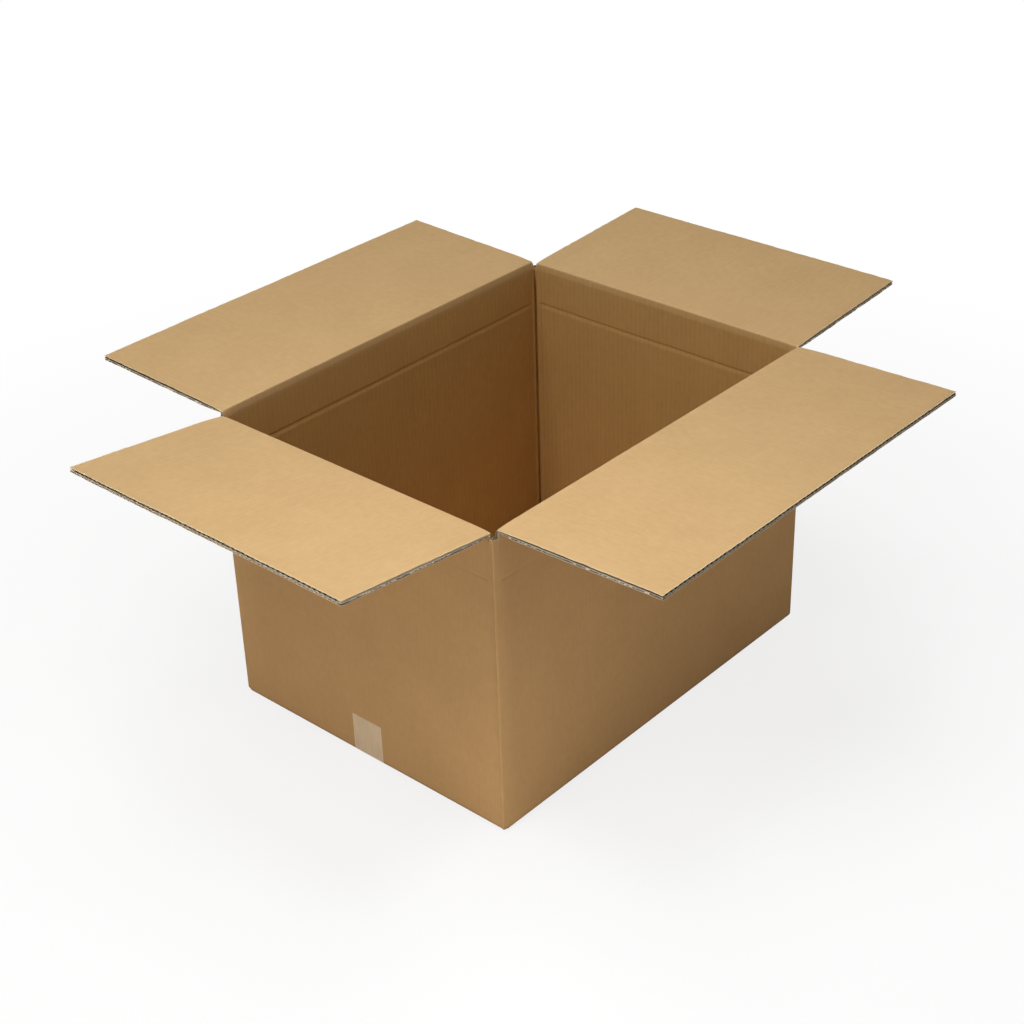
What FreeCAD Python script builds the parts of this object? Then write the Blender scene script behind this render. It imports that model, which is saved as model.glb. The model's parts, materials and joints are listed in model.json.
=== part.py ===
import FreeCAD, Part
import os
import Sketcher

# Open cardboard box: one slotted and folded sheet of double-wall board, four top flaps
# that turn on the creases at its rim, and a strip of tape over the bottom seam.
# Millimetres. The origin is the middle of the underside, +X runs along the long walls,
# +Y along the short walls and +Z up. A long flap hangs on each long wall (-Y and +Y),
# a short flap on each short wall (-X and +X), and all four lie open at rest.

SIZES = {
    # Folded box, outside
    "box_length": 600,
    "box_width": 460,
    "fold_radius": 7,
    # Layers of the board: three liners, with a coarse and a fine wave between them
    "liner": 0.4,
    "coarse_wave": 3.2,
    "fine_wave": 2.1,
    # Underside of an open long flap where it leaves its wall, and how much lower a short
    # flap's lies, so that the short flaps shut under the long ones
    "long_rim": 413,
    "rim_step": 3,
    # Flaps: reach from the outside of the wall, side slot, and how far each one is raised
    "flap_reach": 224,
    "slot_side": 8,
    "front_raise": 1.7,
    "back_raise": 1.6,
    "left_raise": 6.5,
    "right_raise": 3.1,
    # Creases at the rim: gap beside the wall, gap across the mitre, gap between shut
    # flaps, gap beside the corner posts, and the long flaps' pivot inside their board
    "hinge_clear": 0.3,
    "mitre_clear": 0.3,
    "stack_clear": 0.3,
    "post_clear": 0.5,
    "long_pivot_depth": 1.15,
    # Bottom: long flaps outside, short flaps over them inside
    "floor_reach": 224,
    "seam_gap": 3,
    "end_gap": 1.5,
    "layer_gap": 0.4,
    # Second score line round the inside, for a lower fill
    "score_height": 355.4,
    "score_width": 5,
    "score_depth": 1,
    # Glue lap of the short right wall, inside the long front wall
    "lap_width": 40,
    "lap_board": 4,
    "lap_foot": 24,
    "lap_head": 390,
    "lap_taper": 14,
    # Slit at the front right corner, where the long wall's raw edge meets the fold
    "edge_slit": 0.8,
    "edge_slit_depth": 2,
    # Tape over the bottom seam and up both short walls
    "tape_width": 50,
    "tape_rise": 59,
    "tape_film": 0.1,
    # Overshoot of a cut past the face it opens, and of a panel into its root
    "overshoot": 1,
}

# Formulas of the sheet that several sub-parts share
BOARD = "(3 * sizes.liner + sizes.coarse_wave + sizes.fine_wave)"
SHORT_RIM = "(sizes.long_rim - sizes.rim_step)"
HALF_LENGTH = "(sizes.box_length / 2)"
HALF_WIDTH = "(sizes.box_width / 2)"
INNER_LENGTH = f"({HALF_LENGTH} - {BOARD})"
INNER_WIDTH = f"({HALF_WIDTH} - {BOARD})"
LONG_FLAP_HALF = f"({HALF_LENGTH} - sizes.slot_side)"
SHORT_FLAP_HALF = f"({HALF_WIDTH} - sizes.slot_side)"
LONG_TOP = "(sizes.long_rim - sizes.hinge_clear - sizes.mitre_clear)"
SHORT_TOP = f"({SHORT_RIM} - sizes.hinge_clear - sizes.mitre_clear)"
FLOOR_TOP = f"(2 * {BOARD} + sizes.layer_gap)"

# Height of a flap's underside above its pivot. A shut flap lies as far below its pivot,
# so this puts the shut long flaps just on top of the shut short ones.
LONG_OFFSET = "(-sizes.long_pivot_depth)"
SHORT_OFFSET = (
    f"(({BOARD} + sizes.stack_clear - sizes.rim_step) / 2 - sizes.long_pivot_depth)"
)

doc = FreeCAD.newDocument("cardboard_box")
sheet = doc.addObject("Spreadsheet::Sheet", "sizes")
for row, (alias, size) in enumerate(SIZES.items(), start=1):
    sheet.set(f"A{row}", str(size))
    sheet.setAlias(f"A{row}", alias)
doc.recompute()


def evaluate(formula):
    """Present value of a formula of the sheet."""
    return float(sheet.evalExpression(formula.replace("sizes.", "")))


def block(body, kind, name, low, high):
    """Added or cut block between two corners, each given as three sheet formulas."""
    feature = body.newObject(f"PartDesign::{kind}Box", name)
    for axis, side, start, end in zip("xyz", ("Length", "Width", "Height"), low, high):
        feature.setExpression(side, f"{end} - ({start})")
        feature.setExpression(f"Placement.Base.{axis}", start)
    return feature


def outline(body, name, role, wires, shift="0"):
    """Sketch of closed polygons, each corner placed from the origin by two formulas."""
    plane = next(item for item in body.Origin.OriginFeatures if item.Role == role)
    sketch = body.newObject("Sketcher::SketchObject", name)
    sketch.AttachmentSupport = [(plane, "")]
    sketch.MapMode = "FlatFace"
    sketch.setExpression("AttachmentOffset.Base.z", shift)
    for wire in wires:
        spots = [FreeCAD.Vector(evaluate(across), evaluate(up), 0) for across, up in wire]
        first = sketch.GeometryCount
        for start, end in zip(spots, spots[1:] + spots[:1]):
            sketch.addGeometry(Part.LineSegment(start, end), False)
        for index, corner in enumerate(wire):
            line = first + index
            before = first + (index - 1) % len(wire)
            sketch.addConstraint(Sketcher.Constraint("Coincident", before, 2, line, 1))
            for kind, formula in zip(("DistanceX", "DistanceY"), corner):
                rule = Sketcher.Constraint(kind, -1, 1, line, 1, evaluate(formula))
                number = sketch.addConstraint(rule)
                sketch.setExpression(f"Constraints[{number}]", formula)
    return sketch


def both_ways(body, kind, name, sketch, length):
    """Pad or pocket of a sketch, half its length to each side of the sketch's plane."""
    feature = body.newObject(f"PartDesign::{kind}", name)
    feature.Profile = sketch
    feature.SideType = "Symmetric"
    feature.setExpression("Length", length)
    sketch.Visibility = False
    return feature


def opposite(corners):
    """The same corners on the other side of a sketch's upright axis."""
    return [(f"-({across})", up) for across, up in corners]


def round_edges(body, name, base, radius, wanted):
    """Fillet on each straight edge of base whose middle and direction wanted accepts."""
    doc.recompute()
    names = []
    for number, edge in enumerate(base.Shape.Edges, start=1):
        start, end = (vertex.Point for vertex in edge.Vertexes)
        if wanted((start + end) / 2, (end - start).normalize()):
            names.append(f"Edge{number}")
    feature = body.newObject("PartDesign::Fillet", name)
    feature.Base = (base, names)
    feature.setExpression("Radius", radius)
    return feature


# Folded sheet: four walls, the closed bottom flaps and the glue lap, all one piece
folded = doc.addObject("PartDesign::Body", "folded_sheet")
hull = block(
    folded, "Additive", "hull",
    (f"-{HALF_LENGTH}", f"-{HALF_WIDTH}", "0"),
    (HALF_LENGTH, HALF_WIDTH, SHORT_TOP),
)
round_edges(
    folded, "folds", hull, "sizes.fold_radius",
    lambda middle, along: abs(along.z) > 0.5 or middle.z < 1,
)
block(
    folded, "Subtractive", "inside",
    (f"-{INNER_LENGTH}", f"-{INNER_WIDTH}", BOARD),
    (INNER_LENGTH, INNER_WIDTH, f"{SHORT_TOP} + sizes.overshoot"),
)

# The long walls stand a little higher between their slots
for side, low, high in (
    ("front", f"-{HALF_WIDTH}", f"-{INNER_WIDTH}"),
    ("back", INNER_WIDTH, HALF_WIDTH),
):
    block(
        folded, "Additive", f"{side}_crest",
        (f"-{LONG_FLAP_HALF}", low, f"{SHORT_TOP} - sizes.overshoot"),
        (LONG_FLAP_HALF, high, LONG_TOP),
    )


def mitre_corners(outside, top):
    """Triangle above the slope that falls inwards from the outside of a wall's top."""
    before = f"{outside} + sizes.overshoot"
    inside = f"{outside} - {BOARD} - sizes.overshoot"
    above = f"{top} + sizes.overshoot"
    below = f"{top} - {BOARD} - sizes.overshoot"
    return [(before, above), (inside, above), (inside, below)]


# Mitred tops, where the board folds through at the crease under each flap
for direction, role, outside, top, half_run in (
    ("short", "XZ_Plane", HALF_LENGTH, SHORT_TOP, SHORT_FLAP_HALF),
    ("long", "YZ_Plane", HALF_WIDTH, LONG_TOP, LONG_FLAP_HALF),
):
    corners = mitre_corners(outside, top)
    profile = outline(folded, f"{direction}_mitre_profile", role, [corners, opposite(corners)])
    run = f"2 * ({half_run} + sizes.post_clear)"
    both_ways(folded, "Pocket", f"{direction}_mitres", profile, run)


def score_corners(inside):
    """Shallow vee cut outwards into a wall's inner face."""
    return [
        (f"{inside} - sizes.overshoot", "sizes.score_height + sizes.score_width / 2"),
        (inside, "sizes.score_height + sizes.score_width / 2"),
        (f"{inside} + sizes.score_depth", "sizes.score_height"),
        (inside, "sizes.score_height - sizes.score_width / 2"),
        (f"{inside} - sizes.overshoot", "sizes.score_height - sizes.score_width / 2"),
    ]


# Second score line round the four inner faces
for direction, role, inside, half_run in (
    ("short", "XZ_Plane", INNER_LENGTH, INNER_WIDTH),
    ("long", "YZ_Plane", INNER_WIDTH, INNER_LENGTH),
):
    corners = score_corners(inside)
    profile = outline(folded, f"{direction}_score_profile", role, [corners, opposite(corners)])
    both_ways(folded, "Pocket", f"{direction}_scores", profile, f"2 * {half_run}")

# Long bottom flaps: the seam between them, and their cut ends beside the short walls
block(
    folded, "Subtractive", "seam",
    (f"-{INNER_LENGTH}", "-sizes.seam_gap / 2", "-sizes.overshoot"),
    (INNER_LENGTH, "sizes.seam_gap / 2", f"{BOARD} + sizes.overshoot"),
)
for side, low, high in (
    ("left", f"-{INNER_LENGTH}", f"-{INNER_LENGTH} + sizes.end_gap"),
    ("right", f"{INNER_LENGTH} - sizes.end_gap", INNER_LENGTH),
):
    block(
        folded, "Subtractive", f"{side}_end_gap",
        (low, f"-{INNER_WIDTH}", "-sizes.overshoot"),
        (high, INNER_WIDTH, f"{BOARD} + sizes.overshoot"),
    )

# Short bottom flaps, folded in over the long ones
for side, low, high in (
    ("left", f"-{INNER_LENGTH} - sizes.overshoot", f"-{HALF_LENGTH} + sizes.floor_reach"),
    ("right", f"{HALF_LENGTH} - sizes.floor_reach", f"{INNER_LENGTH} + sizes.overshoot"),
):
    block(
        folded, "Additive", f"{side}_floor_flap",
        (low, f"-{SHORT_FLAP_HALF}", f"{BOARD} + sizes.layer_gap"),
        (high, SHORT_FLAP_HALF, FLOOR_TOP),
    )

# Glue lap, crushed thinner than the board, with tapered ends
lap_profile = outline(
    folded, "lap_profile", "XZ_Plane",
    [[
        (f"{INNER_LENGTH} + sizes.overshoot", "sizes.lap_foot"),
        (f"{INNER_LENGTH} + sizes.overshoot", "sizes.lap_head"),
        (f"{INNER_LENGTH} - sizes.lap_width", "sizes.lap_head - sizes.lap_taper"),
        (f"{INNER_LENGTH} - sizes.lap_width", "sizes.lap_foot + sizes.lap_taper"),
    ]],
    shift=f"{INNER_WIDTH} + sizes.overshoot",
)
lap = folded.newObject("PartDesign::Pad", "lap")
lap.Profile = lap_profile
lap.Reversed = True
lap.setExpression("Length", "sizes.lap_board + sizes.overshoot")
lap_profile.Visibility = False
block(
    folded, "Subtractive", "raw_edge_slit",
    (
        f"{HALF_LENGTH} - sizes.edge_slit_depth",
        f"-{INNER_WIDTH} - sizes.edge_slit / 2",
        "sizes.fold_radius",
    ),
    (
        f"{HALF_LENGTH} + sizes.overshoot",
        f"-{INNER_WIDTH} + sizes.edge_slit / 2",
        f"{SHORT_TOP} + sizes.overshoot",
    ),
)

# Tape, pressed flush into the board along its whole length
tape = doc.addObject("PartDesign::Body", "bottom_tape")
strip = block(
    tape, "Additive", "strip",
    (f"-{HALF_LENGTH}", "-sizes.tape_width / 2", "0"),
    (HALF_LENGTH, "sizes.tape_width / 2", "sizes.tape_rise"),
)
hollow = block(
    tape, "Subtractive", "hollow",
    (
        f"-{HALF_LENGTH} + sizes.tape_film",
        "-sizes.tape_width / 2 - sizes.overshoot",
        "sizes.tape_film",
    ),
    (
        f"{HALF_LENGTH} - sizes.tape_film",
        "sizes.tape_width / 2 + sizes.overshoot",
        "sizes.tape_rise + sizes.overshoot",
    ),
)
inner_bends = round_edges(
    tape, "inner_bends", hollow, "sizes.fold_radius - sizes.tape_film",
    lambda middle, along: abs(along.y) > 0.5 and 0.01 < middle.z < 1,
)
round_edges(
    tape, "outer_bends", inner_bends, "sizes.fold_radius",
    lambda middle, along: abs(along.y) > 0.5 and middle.z < 0.01,
)

carton = doc.addObject("Part::Cut", "carton_body")
carton.Base = folded
carton.Tool = tape


def make_flap(name, offset, half_run, pivot_out, rim, turn, lift):
    """Flap drawn about its own pivot: +X outwards, and its inner end mitred."""
    body = doc.addObject("PartDesign::Body", name)
    tip = f"sizes.flap_reach - sizes.hinge_clear + {offset}"
    top = f"{offset} + {BOARD}"
    corners = [(offset, offset), (tip, offset), (tip, top), (top, top)]
    profile = outline(body, f"{name}_section", "XZ_Plane", [corners])
    both_ways(body, "Pad", f"{name}_panel", profile, f"2 * {half_run}")
    pivot = (
        f"vector(cos({turn}) * ({pivot_out}); sin({turn}) * ({pivot_out}); {rim} - {offset})"
    )
    body.setExpression("Placement", f"placement({pivot}; rotation({turn}; -{lift}; 0))")
    return body


parts = [carton, tape]
for name, turn, lift in (
    ("long_flap_front", 270, "sizes.front_raise"),
    ("long_flap_back", 90, "sizes.back_raise"),
):
    out = f"{HALF_WIDTH} + sizes.hinge_clear - {LONG_OFFSET}"
    parts.append(make_flap(name, LONG_OFFSET, LONG_FLAP_HALF, out, "sizes.long_rim", turn, lift))
for name, turn, lift in (
    ("short_flap_left", 180, "sizes.left_raise"),
    ("short_flap_right", 0, "sizes.right_raise"),
):
    out = f"{HALF_LENGTH} + sizes.hinge_clear - {SHORT_OFFSET}"
    parts.append(make_flap(name, SHORT_OFFSET, SHORT_FLAP_HALF, out, SHORT_RIM, turn, lift))

doc.recompute()
for item in doc.Objects:
    if {"Invalid", "Error"} & set(item.State):
        raise RuntimeError(f"{item.Label} didn't build: {item.State}")
for item in parts:
    if item.Shape.isNull() or not item.Shape.isValid():
        raise RuntimeError(f"{item.Label} has no sound shape")

os.makedirs("parts", exist_ok=True)
for item in parts:
    item.Shape.exportStep(f"parts/{item.Label}.step")
    box = item.Shape.BoundBox
    print(item.Label, len(item.Shape.Solids), round(item.Shape.Volume), box)
print("pivots", *(item.Placement.Base for item in parts[2:]))
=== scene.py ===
import json
import math

import bpy
import numpy as np
from mathutils import Euler, Matrix, Vector


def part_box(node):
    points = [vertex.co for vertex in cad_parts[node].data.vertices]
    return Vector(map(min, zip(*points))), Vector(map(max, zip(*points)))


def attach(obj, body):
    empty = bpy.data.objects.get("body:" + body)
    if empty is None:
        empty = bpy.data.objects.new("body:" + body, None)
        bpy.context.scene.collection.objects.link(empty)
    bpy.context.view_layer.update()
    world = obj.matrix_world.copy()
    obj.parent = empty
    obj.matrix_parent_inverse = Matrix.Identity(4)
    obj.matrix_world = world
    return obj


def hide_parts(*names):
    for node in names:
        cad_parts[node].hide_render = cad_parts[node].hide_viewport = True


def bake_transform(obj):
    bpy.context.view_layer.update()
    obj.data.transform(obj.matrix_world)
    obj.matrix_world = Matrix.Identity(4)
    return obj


# Open cardboard box of double-wall board. The solids give the sizes, the creases and the
# pivots. This script dresses them: each flap becomes one sheet that bends over its crease,
# with three liners and two waves, the folded body gets its scored corners and its creases,
# and the tape its film. Lengths are millimetres up to the meshes, which are in metres.

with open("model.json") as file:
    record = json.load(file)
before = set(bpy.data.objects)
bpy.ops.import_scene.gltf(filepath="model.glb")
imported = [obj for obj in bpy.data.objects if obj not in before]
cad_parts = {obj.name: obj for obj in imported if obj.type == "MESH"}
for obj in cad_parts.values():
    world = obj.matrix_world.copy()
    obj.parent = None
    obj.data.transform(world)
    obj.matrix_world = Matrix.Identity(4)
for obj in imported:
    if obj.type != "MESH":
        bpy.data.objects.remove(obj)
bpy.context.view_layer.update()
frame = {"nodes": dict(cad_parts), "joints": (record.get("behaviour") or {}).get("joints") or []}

MM = 0.001

# Places closer than this are the same
TOUCH = 0.01

# Edges that turn by more than this many degrees stay sharp
SHARP = 40

# Materials of the board's faces, in the order of BOARD_MATERIALS. WAVE is darker, greyer paper, its
# darkness mostly painted shade of the hollows between the liners.
OUT, IN, EDGE, WAVE = 0, 1, 2, 3

# Layers of the board, from its outside to its inside, and the length of one wave of each
LINER = 0.4
FINE_WAVE = 2.1
COARSE_WAVE = 3.2
BOARD = 3 * LINER + FINE_WAVE + COARSE_WAVE
FINE_PITCH = 6.3
COARSE_PITCH = 7.8
WAVE_PAPER = 0.26

# Levels below the board's outer face. Each liner has two levels and the materials of its
# front, back and edge. Each wave has two levels, its pitch, the steps along one wave and its
# material.
LEVELS = np.cumsum([0, LINER, FINE_WAVE, LINER, COARSE_WAVE, LINER])
LINERS = (
    (LEVELS[0], LEVELS[1], (OUT, OUT, EDGE)),
    (LEVELS[2], LEVELS[3], (EDGE, EDGE, EDGE)),
    (LEVELS[4], LEVELS[5], (IN, IN, EDGE)),
)
WAVES = (
    (LEVELS[1], LEVELS[2], FINE_PITCH, 6, EDGE),
    (LEVELS[3], LEVELS[4], COARSE_PITCH, 8, WAVE),
)

# The waves end a little inside the liners' sides. They are made only this far in from a
# flap's tip and one wave in from its sides: the rest lies hidden between the liners.
WAVE_INSET = 0.3
WAVE_SHOWN = 45.0

# Folded body: radius of its folds outside and inside, what a slot takes from each side of a
# flap, top of the posts at the corners, strip of wall that belongs to a flap's sheet, crease
# across the inside of the walls, and clearance at the flaps' hinges
FOLD_RADIUS = 7.0
INNER_RADIUS = FOLD_RADIUS - BOARD
SLOT_SIDE = 8.0
POST_TOP = 409.4
WALL_STRIP = 2.5
SCORE_HEIGHT = 355.4
HINGE_CLEAR = 0.3

# Crease under a flap: bend radius of the inner liner, length of sheet that bends, and how
# far the outer liner is pressed in
BEND = 9.5
FOLD_RUN = 9.0
PRESSED = 0.35

# How tightly the inner liner turns there, and how far out from the wall's inner face
TIGHTNESS = 6.0
LEAN = 1.4

# How far the slots' ends are crushed towards one level, by wall
CRUSHING = {"right": 0.35, "back": 0.7, "left": 0.6, "front": 0.5}
CRUSHED_LEVEL = 0.62 * BOARD

# The attribute flat holds a point's place on the unfolded sheet: along its length, up its
# height, and its depth below the outer face, to which a cut edge adds this much for its wear,
# paper near a cut a share of it, and the flaps' crease a share as a painted highlight
PALE_WEAR_AND_HIGHLIGHT = 30.0

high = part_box("carton_body")[1]
HALF_LENGTH = high[0] / MM
HALF_WIDTH = high[1] / MM
JOINTS = {joint["name"]: joint for joint in frame["joints"]}

# Each wall with the flap on it: outward direction, distance of its outer face, half its
# width, and where its middle lies along the unfolded sheet
WALLS = {
    "right": ((1, 0), HALF_LENGTH, HALF_WIDTH, HALF_WIDTH),
    "back": ((0, 1), HALF_WIDTH, HALF_LENGTH, 2 * HALF_WIDTH + HALF_LENGTH),
    "left": ((-1, 0), HALF_LENGTH, HALF_WIDTH, 3 * HALF_WIDTH + 2 * HALF_LENGTH),
    "front": ((0, -1), HALF_WIDTH, HALF_LENGTH, 4 * HALF_WIDTH + 3 * HALF_LENGTH),
}

# Random knots of a smooth line, and the one at place 0
KNOTS = 4096
FIRST_KNOT = 2000


def wander(places, step, seed):
    """Smooth random line between -1 and 1, with one bend each step."""
    knots = np.random.default_rng(seed).uniform(-1, 1, KNOTS)
    spots = np.asarray(places, float) / step + FIRST_KNOT
    before = np.floor(spots).astype(int)
    share = spots - before
    share = share * share * (3 - 2 * share)
    return knots[before] * (1 - share) + knots[before + 1] * share


def bump(places, middle, width):
    """Soft hump of height 1."""
    return np.exp(-(((places - middle) / width) ** 2))


class Pile:
    """Points, faces and materials of one mesh while it is gathered."""

    def __init__(self):
        self.points, self.flats, self.faces, self.slots = [], [], [], []
        self.count = 0

    def add(self, points, flats):
        """Take points with their places on the sheet, and give the number of the first."""
        start = self.count
        self.points.append(points.reshape(-1, 3))
        self.flats.append(flats.reshape(-1, 3))
        self.count += points.size // 3
        return start

    def quads(self, quads, slot):
        quads = np.asarray(quads, int).reshape(-1, 4)
        self.faces.append(quads)
        self.slots.append(np.full(len(quads), slot))

    def slab(self, front, back, front_flat, back_flat, slots):
        """Closed thin sheet between two grids of points: slots are front, back and edge."""
        rows, columns = front.shape[:2]
        span_row = front[-1, 0] - front[0, 0]
        span_column = front[0, -1] - front[0, 0]
        outward = np.mean(front - back, axis=(0, 1))
        flip = np.dot(np.cross(span_row, span_column), outward) < 0
        order = np.arange(rows * columns).reshape(rows, columns)
        one = self.add(front, front_flat) + order
        two = self.add(back, back_flat) + order
        for grid, slot, turned in ((one, slots[0], flip), (two, slots[1], not flip)):
            corners = [grid[:-1, :-1], grid[1:, :-1], grid[1:, 1:], grid[:-1, 1:]]
            if turned:
                corners.reverse()
            self.quads(np.stack(corners, axis=-1), slot)
        ring_one, ring_two = (
            np.concatenate([grid[:-1, 0], grid[-1, :-1], grid[:0:-1, -1], grid[0, :0:-1]])
            for grid in (one, two)
        )
        corners = [np.roll(ring_one, -1), ring_one, ring_two, np.roll(ring_two, -1)]
        if flip:
            corners.reverse()
        self.quads(np.stack(corners, axis=-1), slots[2])

    def mesh(self, name, materials):
        """Object of all that was gathered, in metres, with its places in the attribute flat."""
        points = np.concatenate(self.points) * MM
        flats = np.concatenate(self.flats) * MM
        faces = np.concatenate(self.faces)
        slots = np.concatenate(self.slots)
        made = bpy.data.meshes.new(name)
        made.vertices.add(len(points))
        made.vertices.foreach_set("co", points.astype(np.float32).ravel())
        made.loops.add(faces.size)
        made.loops.foreach_set("vertex_index", faces.ravel().astype(np.int32))
        made.polygons.add(len(faces))
        made.polygons.foreach_set("loop_start", np.arange(0, faces.size, 4, dtype=np.int32))
        made.polygons.foreach_set("material_index", slots.astype(np.int32))
        made.update(calc_edges=True)
        made.validate()
        flat = made.attributes.new("flat", "FLOAT_VECTOR", "POINT")
        flat.data.foreach_set("vector", flats.astype(np.float32).ravel())
        made.polygons.foreach_set("use_smooth", np.ones(len(made.polygons), bool))
        made.set_sharp_from_angle(angle=math.radians(SHARP))
        for material in materials:
            made.materials.append(material)
        piece = bpy.data.objects.new(name, made)
        bpy.context.scene.collection.objects.link(piece)
        return piece


# Materials. The attribute flat reaches them in metres, so their heights are in metres too.

# Where the inside walls' painted shade passes into the flaps' own colour, the painted contact
# shadow along the foot of the walls, and the heights over which the painted shade and highlight
# of the folded corners fade in
INNER_SHADE_FADE = (0.404, 0.4135)
FOOT_SHADOW = (0.001, 0.008)
CORNER_PAINT_RISE = (0.08, 0.30)

# Folded corners along the unfolded sheet, and how light the outside is painted from a reach
# before each to as far after it: painted shade on the wall before the score line and at it, then
# a painted highlight on the rounded corner. The even factor times the level 0.8 changes nothing.
FOLDED_CORNERS = [WALLS[wall][3] + WALLS[wall][2] for wall in ("right", "back", "left")]
CORNER_PAINT_REACH = 20
CORNER_PAINT_EVEN = 1.25
CORNER_SHADE_AND_HIGHLIGHT = [
    (0.1, 0.8), (0.36, 0.73), (0.39, 0.66), (0.42, 0.68), (0.46, 0.81), (0.52, 0.84), (0.66, 0.83),
    (0.78, 0.81), (0.95, 0.8),
]

# Tape: how far from its middle its paler edges and the painted shade of the seam behind it
# fade, and where along the tape that painted seam shade begins and ends
TAPE_EDGE = (0.0228, 0.0246)
TAPE_SEAM_SHADE = (0.0018, 0.0013)
SEAM_ENDS = (0.062, 0.648)


class Nodes:
    """Short ways to put a material's nodes together."""

    def __init__(self, name):
        self.material = bpy.data.materials.new(name)
        self.material.use_nodes = True
        self.tree = self.material.node_tree
        self.shader = self.tree.nodes["Principled BSDF"]

    def node(self, kind, inputs=(), **settings):
        made = self.tree.nodes.new(f"ShaderNode{kind}")
        for key, value in settings.items():
            setattr(made, key, value)
        for key, value in dict(inputs).items():
            self.feed(made.inputs[key], value)
        return made

    def feed(self, socket, value):
        if isinstance(value, bpy.types.NodeSocket):
            self.tree.links.new(value, socket)
        else:
            socket.default_value = value

    def maths(self, operation, one, two=0.0, clamp=False):
        made = self.node("Math", {0: one, 1: two}, operation=operation, use_clamp=clamp)
        return made.outputs[0]

    def total(self, *terms, clamp=False):
        """Sum of values, each with its weight."""
        parts = [self.maths("MULTIPLY", value, weight) for value, weight in terms]
        whole = parts[0]
        for part in parts[1:]:
            whole = self.maths("ADD", whole, part, clamp)
        return whole

    def flat(self, scale=(1, 1, 1)):
        """Place on the unfolded sheet: across the flutes, along them, and depth."""
        place = self.node("Attribute", attribute_name="flat").outputs["Vector"]
        return self.node("VectorMath", {0: place, 1: scale}, operation="MULTIPLY").outputs[0]

    def flat_parts(self):
        return self.node("SeparateXYZ", {0: self.flat()}).outputs

    def noise(self, place, scale, detail=3.0, rough=0.55):
        inputs = {"Vector": place, "Scale": scale, "Detail": detail, "Roughness": rough}
        return self.node("TexNoise", inputs).outputs["Fac"]

    def spread(self, value, low, high, out_low=0.0, out_high=1.0):
        inputs = {0: value, 1: low, 2: high, 3: out_low, 4: out_high}
        return self.node("MapRange", inputs).outputs[0]

    def steps(self, value, stops):
        """Level that runs from stop to stop: each is a place between 0 and 1 with its level."""
        made = self.node("ValToRGB", {0: value})
        ramp = made.color_ramp.elements
        while len(ramp) < len(stops):
            ramp.new(0.5)
        for element, (place, level) in zip(ramp, stops):
            element.position = place
            element.color = (level, level, level, 1)
        return made.outputs[0]

    def mix(self, share, one, two, blend="MIX"):
        made = self.node("Mix", {"Factor": share}, data_type="RGBA", blend_type=blend)
        self.feed(made.inputs[6], one)
        self.feed(made.inputs[7], two)
        return made.outputs[2]

    def surface(self, colour, roughness, specular, height, distance, strength):
        """Colour, gloss and relief of the shader, and the finished material."""
        self.feed(self.shader.inputs["Base Color"], colour)
        self.feed(self.shader.inputs["Roughness"], roughness)
        self.feed(self.shader.inputs["Specular IOR Level"], specular)
        inputs = {"Height": height, "Distance": distance, "Strength": strength}
        self.feed(self.shader.inputs["Normal"], self.node("Bump", inputs).outputs[0])
        return self.material


def rgb(red, green, blue):
    """Colour socket value of an 8-bit screen colour."""
    linear = []
    for value in (red, green, blue):
        share = value / 255
        linear.append(share / 12.92 if share <= 0.04045 else ((share + 0.055) / 1.055) ** 2.4)
    return (*linear, 1.0)


def paint_foot_shadow_and_corner_light(n, colour, across, height):
    """The outside: a painted contact shadow at its foot, and at the folded corners painted shade by
    the score line and a painted highlight after it, stronger higher up.
    """
    # Painted contact shadow: darker over the last few millimetres of the wall's foot
    foot_shadow = n.spread(height, *FOOT_SHADOW, 1.0, 0.0)
    colour = n.mix(foot_shadow, colour, rgb(178, 168, 152), "MULTIPLY")
    # Painted shade and highlight of the folded corners, stronger higher up
    corner_paint_strength = n.spread(height, *CORNER_PAINT_RISE, 0.35, 1.0)
    for corner in FOLDED_CORNERS:
        place = n.spread(across, (corner - CORNER_PAINT_REACH) * MM, (corner + CORNER_PAINT_REACH) * MM)
        corner_shade_and_light = n.steps(place, CORNER_SHADE_AND_HIGHLIGHT)
        corner_shade_and_light = n.mix(1.0, corner_shade_and_light, (CORNER_PAINT_EVEN, CORNER_PAINT_EVEN, CORNER_PAINT_EVEN, 1), "MULTIPLY")
        colour = n.mix(corner_paint_strength, colour, corner_shade_and_light, "MULTIPLY")
    return colour


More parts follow.
